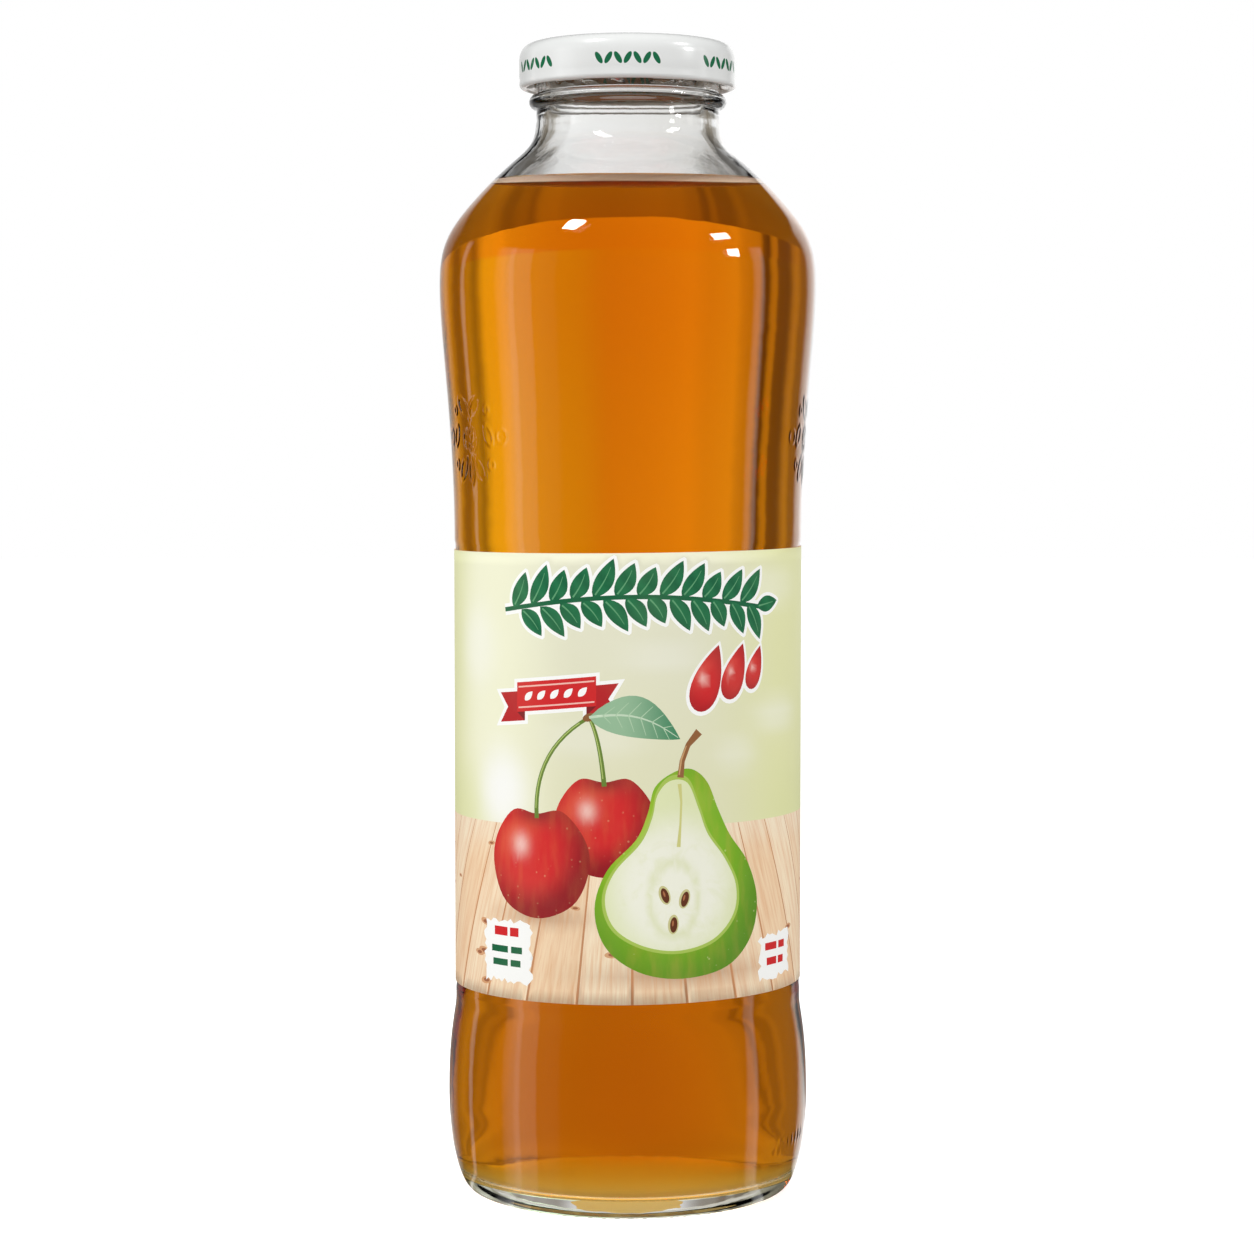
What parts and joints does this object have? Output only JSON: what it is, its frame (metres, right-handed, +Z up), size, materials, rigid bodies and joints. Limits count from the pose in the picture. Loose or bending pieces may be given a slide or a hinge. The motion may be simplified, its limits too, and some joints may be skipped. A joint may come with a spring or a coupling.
{
  "type": "juice bottle",
  "caption": "Clear glass bottle filled with amber fruit juice, with a bulged shoulder, a paper label round its body and a white twist-off metal cap.",
  "frame": {"origin": "centre of the ring that the bottle stands on, at the surface it stands on", "axes": "+Z up along the bottle, from its base to its cap; the front of the label faces -Y, +X is to the right of someone who looks at the front"},
  "size_m": [0.0868, 0.0868, 0.2648],
  "materials": {
    "clear_glass": "clear moulded glass, smooth and glossy",
    "juice": "clear amber juice",
    "label_paper": "semi-gloss printed paper",
    "cap_enamel": "glossy white enamel on tinplate"
  },
  "bodies": {
    "root": {"bottle_glass": "clear_glass", "juice": "juice", "label": "label_paper", "cap": "cap_enamel"}
  },
  "joints": []
}
